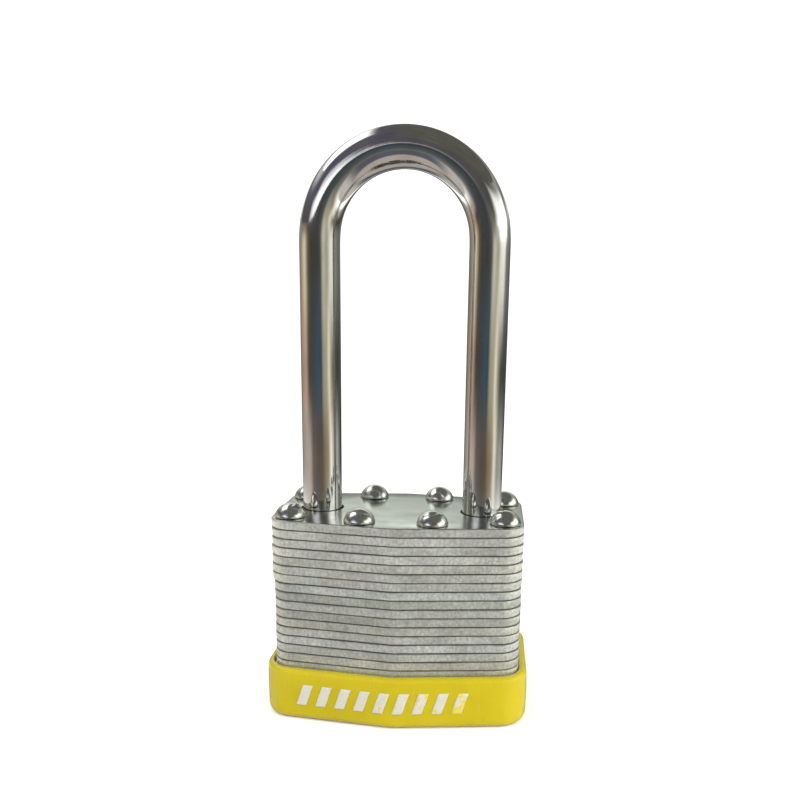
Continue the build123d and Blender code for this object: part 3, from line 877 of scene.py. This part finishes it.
def makeMarks():
    look = markLook
    skin = outlineLoop(bumperLook["wall"])
    bm = bmesh.new()
    for number, (low, high, lowLeft, lowRight, highLeft, highRight) in enumerate(markBars()):
        rows = []
        for j in range(look["up"] + 1):
            up = j / look["up"]
            left, right = lowLeft + (highLeft - lowLeft) * up, lowRight + (highRight - lowRight) * up
            row = []
            for i in range(look["across"] + 1):
                across = i / look["across"]
                x = left + (right - left) * across
                wide, tall = right - left, high - low
                edge = min(across * wide, (1 - across) * wide, up * tall, (1 - up) * tall)
                full = math.sqrt(max(0.0, 1 - (1 - min(edge / look["round"], 1.0)) ** 2))
                blot = look["blot"] * noise.noise(Vector((x * 1.5, j * 0.2, number * 4.0)))
                out = look["relief"] * full + (blot if full > 0.5 else 0.0)
                row.append(bm.verts.new(Vector((x, frontAt(skin, x) - out, low + (high - low) * up)) * mm))
            rows.append(row)
        for lower, upper in zip(rows, rows[1:]):
            for i in range(look["across"]):
                bm.faces.new((lower[i], lower[i + 1], upper[i + 1], upper[i]))
        border = rows[0] + [row[-1] for row in rows[1:-1]] + rows[-1][::-1] + [row[0] for row in rows[-2:0:-1]]
        roots = [bm.verts.new(v.co + Vector((0, look["root"] * mm, 0))) for v in border]
        bridge(bm, border, roots)
        bm.faces.new(roots[::-1])
    mesh = meshFrom(bm, "bumper_marks_raised")
    piece = addPiece("bumper_marks_raised", mesh, "body", "silverPrint", 60)
    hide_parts("bumper_marks")


makeMarks()
print("marks raised")


# carried-over CAD nodes
carried = {
    "heel_ring": "springWire",
    "shackle_spring": "springWire",
    "plug_clip": "springWire",
    "pin_springs": "springWire",
    "lever_spring": "springWire",
    "cylinder_shell": "turnedBrass",
    "chamber_cover": "turnedBrass",
    "driver_pins": "turnedBrass",
    "key_pins": "turnedBrass",
    "plug": "turnedBrass",
    "cam": "leverSteel",
    "left_lever": "leverSteel",
    "right_lever": "leverSteel",
}
for name, finish in carried.items():
    refinish(name, finish)
print("CAD nodes carried over:", len(carried))


# room: pale floor, soft lamps and the dark and bright cards that the chrome mirrors
room = {
    "floorHalf": 3.0,
    "floorColour": (0.90, 0.90, 0.90, 1),
    "skyStrength": 1.25,
    "wallRadius": 0.45,
    "wallLow": -0.14,
    "wallHigh": 0.42,
    "wallSteps": 96,
    "overhang": 0.05,  # how far the ceiling and table go past the wall
    "drift": 0.012,  # how uneven the edges between the wall's tones are
    "aim": 0.03,  # the height that the lamps point at
}
wallTones = [  # height (m), then degrees from straight in front (+ to the right) and the tone there
    (-0.115, [(-180, 0.4, 0.4, 0.38), (-125, 1.9, 1.9, 1.78), (-70, 1.1, 1.1, 1.02),
        (-34, 0.2, 0.21, 0.21), (0, 0.14, 0.15, 0.16), (28, 0.2, 0.21, 0.21), (62, 1.1, 1.1, 1.02),
        (115, 2.1, 2.1, 1.95), (180, 0.4, 0.4, 0.38)]),
    (-0.045, [(-180, 0.06, 0.06, 0.05), (-150, 0.2, 0.19, 0.17), (-108, 0.46, 0.41, 0.38),
        (-80, 0.55, 0.45, 0.4), (-60, 0.5, 0.41, 0.35), (-42, 0.17, 0.14, 0.12), (-10, 0.13, 0.1, 0.08),
        (14, 0.14, 0.11, 0.07), (30, 0.26, 0.21, 0.13), (50, 0.36, 0.3, 0.2), (66, 1.1, 1.02, 0.86),
        (86, 0.38, 0.37, 0.31), (114, 0.44, 0.44, 0.41), (147, 0.06, 0.06, 0.05),
        (180, 0.06, 0.06, 0.05)]),
    (0.02, [(-180, 0.1, 0.1, 0.09), (-150, 0.13, 0.13, 0.12), (-111, 0.46, 0.33, 0.23),
        (-83, 0.52, 0.37, 0.26), (-62, 0.09, 0.07, 0.06), (-42, 0.07, 0.07, 0.07), (-22, 0.06, 0.08, 0.1),
        (-3, 0.055, 0.1, 0.135), (11, 0.05, 0.08, 0.1), (22, 0.34, 0.33, 0.25), (44, 0.46, 0.43, 0.31),
        (56, 0.92, 0.83, 0.6), (72, 0.32, 0.31, 0.23), (88, 0.09, 0.09, 0.07), (120, 0.06, 0.06, 0.05),
        (180, 0.1, 0.1, 0.09)]),
    (0.105, [(-180, 0.26, 0.28, 0.26), (-150, 0.17, 0.17, 0.15), (-112, 0.36, 0.31, 0.25),
        (-84, 0.84, 0.74, 0.52), (-60, 0.14, 0.12, 0.07), (-42, 0.06, 0.06, 0.05), (-4, 0.06, 0.06, 0.06),
        (12, 0.1, 0.1, 0.09), (28, 0.66, 0.64, 0.52), (50, 0.42, 0.41, 0.3), (70, 1.0, 0.98, 0.88),
        (90, 1.1, 1.1, 1.0), (104, 0.3, 0.3, 0.26), (140, 0.14, 0.14, 0.12), (180, 0.26, 0.28, 0.26)]),
    (0.145, [(-180, 0.26, 0.28, 0.25), (-166, 0.4, 0.43, 0.39), (-148, 0.44, 0.47, 0.42),
        (-112, 0.26, 0.24, 0.2), (-84, 0.3, 0.27, 0.21), (-60, 0.1, 0.09, 0.08), (-4, 0.06, 0.07, 0.08),
        (24, 0.2, 0.2, 0.17), (50, 0.7, 0.68, 0.55), (62, 1.7, 1.7, 1.64), (98, 1.7, 1.7, 1.64),
        (114, 0.3, 0.3, 0.26), (160, 0.22, 0.24, 0.22), (180, 0.26, 0.28, 0.25)]),
    (0.165, [(-180, 1.2, 1.25, 1.14), (-164, 1.75, 1.8, 1.65), (-144, 1.1, 1.12, 1.02),
        (-120, 0.1, 0.1, 0.09), (-62, 0.09, 0.08, 0.08), (-38, 1.3, 1.3, 1.3), (-16, 1.5, 1.5, 1.5),
        (-6, 0.4, 0.4, 0.39), (4, 0.1, 0.1, 0.09), (34, 0.2, 0.19, 0.15), (54, 1.6, 1.6, 1.55),
        (104, 1.7, 1.7, 1.65), (120, 0.3, 0.31, 0.28), (152, 0.4, 0.42, 0.39), (180, 1.1, 1.15, 1.05)]),
    (0.195, [(-180, 1.3, 1.35, 1.22), (-164, 1.8, 1.85, 1.7), (-144, 1.0, 1.02, 0.94),
        (-120, 0.1, 0.1, 0.09), (-60, 0.1, 0.09, 0.1), (-40, 1.4, 1.4, 1.42), (-20, 1.4, 1.4, 1.42),
        (-8, 0.12, 0.11, 0.12), (34, 0.09, 0.09, 0.08), (48, 0.8, 0.78, 0.7), (60, 1.8, 1.8, 1.75),
        (108, 1.8, 1.8, 1.75), (124, 0.3, 0.32, 0.29), (180, 1.2, 1.25, 1.14)]),
    (0.27, [(-180, 0.3, 0.3, 0.27), (-150, 0.14, 0.14, 0.12), (-100, 0.12, 0.12, 0.13),
        (-52, 0.1, 0.09, 0.13), (-40, 0.8, 0.8, 0.84), (-28, 0.8, 0.8, 0.84), (-16, 0.1, 0.09, 0.12),
        (38, 0.09, 0.09, 0.08), (54, 1.2, 1.18, 1.1), (110, 1.5, 1.5, 1.45), (124, 0.14, 0.14, 0.12),
        (180, 0.3, 0.3, 0.27)]),
    (0.38, [(-180, 0.12, 0.12, 0.1), (-160, 0.6, 0.6, 0.58), (-100, 0.6, 0.6, 0.6), (-70, 0.1, 0.1, 0.12),
        (60, 0.1, 0.1, 0.085), (100, 0.4, 0.4, 0.36), (145, 0.3, 0.3, 0.27), (180, 0.12, 0.12, 0.1)]),
]
ceiling = {
    "colour": (0.095, 0.095, 0.08),
    "streak": (0.09, 0.08, 0.13),
    "streakFrom": (0.0, -0.15),  # where it comes in, across (m)
    "haze": (0.19, 0.19, 0.16),
    "windows": [(-0.50, -0.15, -0.04, 0.50, 0.035, 1.8)],  # low x, high x, low y, high y, soft edge (m), strength
}
table = {  # the tones that the lock mirrors from below
    "near": (0.50, 0.43, 0.385),
    "front": (0.11, 0.12, 0.14),
    "sides": (0.60, 0.55, 0.50),
    "reach": (0.17, 0.22),  # where near ends (m)
    "half": (0.12, 0.26),  # where front turns to sides (m)
}


def roomPlace(tree):  # the place in the room, whole and split into its axes
    place = addNode(tree, "TexCoord").outputs["Object"]
    return place, addNode(tree, "SeparateXYZ", {0: place}).outputs


def makeWallGlow():
    # tones that change softly round the wall and up it, with slightly uneven edges
    material, tree, glow = startMaterial("wallGlow", "Emission")
    place, axes = roomPlace(tree)
    angle = calc(tree, "ARCTAN2", axes["X"], times(tree, axes["Y"], -1.0))
    uneven = addNode(tree, "TexNoise", {"Vector": place, "Scale": 9.0, "Detail": 3.0}).outputs["Fac"]
    drift = times(tree, minus(tree, uneven, 0.5), room["drift"])
    share = plus(tree, plus(tree, calc(tree, "DIVIDE", angle, 2 * math.pi), 0.5), drift)
    colour = None
    for number, (height, tones) in enumerate(wallTones):
        band = addNode(tree, "ValToRGB", {"Fac": share})
        stops = band.color_ramp.elements
        stops.remove(stops[-1])
        stops[0].position = 0.0
        stops[0].color = (*tones[0][1:], 1)
        for degrees, *tone in tones[1:]:
            stops.new(degrees / 360 + 0.5).color = (*tone, 1)
        if colour is None:
            colour = band.outputs["Color"]
        else:
            below = wallTones[number - 1][0]
            rise = ramp(tree, axes["Z"], below, height, smooth=True)
            colour = blendColour(tree, rise, colour, band.outputs["Color"])
    tree.links.new(colour, glow.inputs["Color"])
    return material


def makeCeilingGlow():
    # a dim ceiling with soft-edged windows
    material, tree, glow = startMaterial("ceilingGlow", "Emission")
    place, axes = roomPlace(tree)
    clouds = addNode(tree, "TexNoise", {"Vector": place, "Scale": 7.0, "Detail": 4.0}).outputs["Fac"]
    left = ramp(tree, axes["X"], *ceiling["streakFrom"], smooth=True)
    colour = blendColour(tree, left, (*ceiling["colour"], 1), (*ceiling["streak"], 1))
    colour = blendColour(tree, ramp(tree, clouds, 0.3, 0.8, 0.0, 0.5), colour, (*ceiling["haze"], 1))
    for lowX, highX, lowY, highY, soft, strength in ceiling["windows"]:
        inside = 1.0
        for axis, low, high in (("X", lowX, highX), ("Y", lowY, highY)):
            inside = times(tree, inside, ramp(tree, axes[axis], low - soft, low + soft, smooth=True))
            inside = times(tree, inside, ramp(tree, axes[axis], high + soft, high - soft, smooth=True))
        colour = blendColour(tree, inside, colour, (strength, strength, strength * 0.97, 1))
    tree.links.new(colour, glow.inputs["Color"])
    return material


def makeTableGlow():
    material, tree, glow = startMaterial("tableGlow", "Emission")
    place, axes = roomPlace(tree)
    squares = plus(tree, calc(tree, "POWER", axes["X"], 2.0), calc(tree, "POWER", axes["Y"], 2.0))
    away = calc(tree, "SQRT", squares)
    aside = ramp(tree, calc(tree, "ABSOLUTE", axes["X"]), *table["half"], smooth=True)
    outer = blendColour(tree, aside, (*table["front"], 1), (*table["sides"], 1))
    colour = blendColour(tree, ramp(tree, away, *table["reach"], smooth=True), (*table["near"], 1), outer)
    tree.links.new(colour, glow.inputs["Color"])
    return material


def addStage(name, mesh, material):
    made = bpy.data.objects.new(name, mesh)
    bpy.context.scene.collection.objects.link(made)
    mesh.materials.append(material)
    return made


def addCard(name, corners, faces, material):
    # a card that only mirrors see, so it neither shows nor shades the lock
    mesh = bpy.data.meshes.new(name)
    mesh.from_pydata(corners, [], faces)
    card = addStage(name, mesh, material)
    card.visible_camera = False
    card.visible_diffuse = False
    card.visible_shadow = False
    card.visible_transmission = False


def squareAt(half, z):
    return [(-half, -half, z), (half, -half, z), (half, half, z), (-half, half, z)]


def makeCards():
    radius, low, high = room["wallRadius"], room["wallLow"], room["wallHigh"]
    count = room["wallSteps"]
    corners = [(radius * math.sin(2 * math.pi * i / count), -radius * math.cos(2 * math.pi * i / count), z)
               for z in (low, high) for i in range(count)]
    faces = [(i, (i + 1) % count, (i + 1) % count + count, i + count) for i in range(count)]
    addCard("wallCard", corners, faces, makeWallGlow())
    for name, z, material in (("ceilingCard", high, makeCeilingGlow()), ("tableCard", low, makeTableGlow())):
        addCard(name, squareAt(radius + room["overhang"], z), [(0, 1, 2, 3)], material)


def makeFloor():
    mesh = bpy.data.meshes.new("paleFloor")
    mesh.from_pydata(squareAt(room["floorHalf"], 0), [], [(0, 1, 2, 3)])
    material, *_ = startMaterial("paleFloor", **{"Roughness": 0.9, "Base Color": room["floorColour"]})
    floor = addStage("paleFloor", mesh, material)
    floor.visible_glossy = False


def makeSky():
    world = bpy.data.worlds.new("studioSky")
    bpy.context.scene.world = world
    world.use_nodes = True
    sky = world.node_tree.nodes["Background"]
    sky.inputs["Color"].default_value = (1, 1, 1, 1)
    sky.inputs["Strength"].default_value = room["skyStrength"]


lamps = [  # name, place (m), disc size (m), power (W)
    ("keyLamp", (-0.25, -0.30, 0.38), 0.25, 1.0),
    ("fillLamp", (0.32, -0.22, 0.25), 0.30, 0.7),
    ("sideLamp", (0.34, -0.10, 0.06), 0.20, 0.70),
]


def makeLamps():
    for name, place, size, power in lamps:
        data = bpy.data.lights.new(name, "AREA")
        data.shape = "DISK"
        data.size = size
        data.energy = power
        made = bpy.data.objects.new(name, data)
        bpy.context.scene.collection.objects.link(made)
        made.location = place
        made.visible_glossy = False
        made.rotation_euler = (Vector((0, 0, room["aim"])) - Vector(place)).to_track_quat("-Z", "Y").to_euler()


makeCards()
makeFloor()
makeSky()
makeLamps()
bpy.context.scene.view_settings.view_transform = "Standard"
print("room lit")
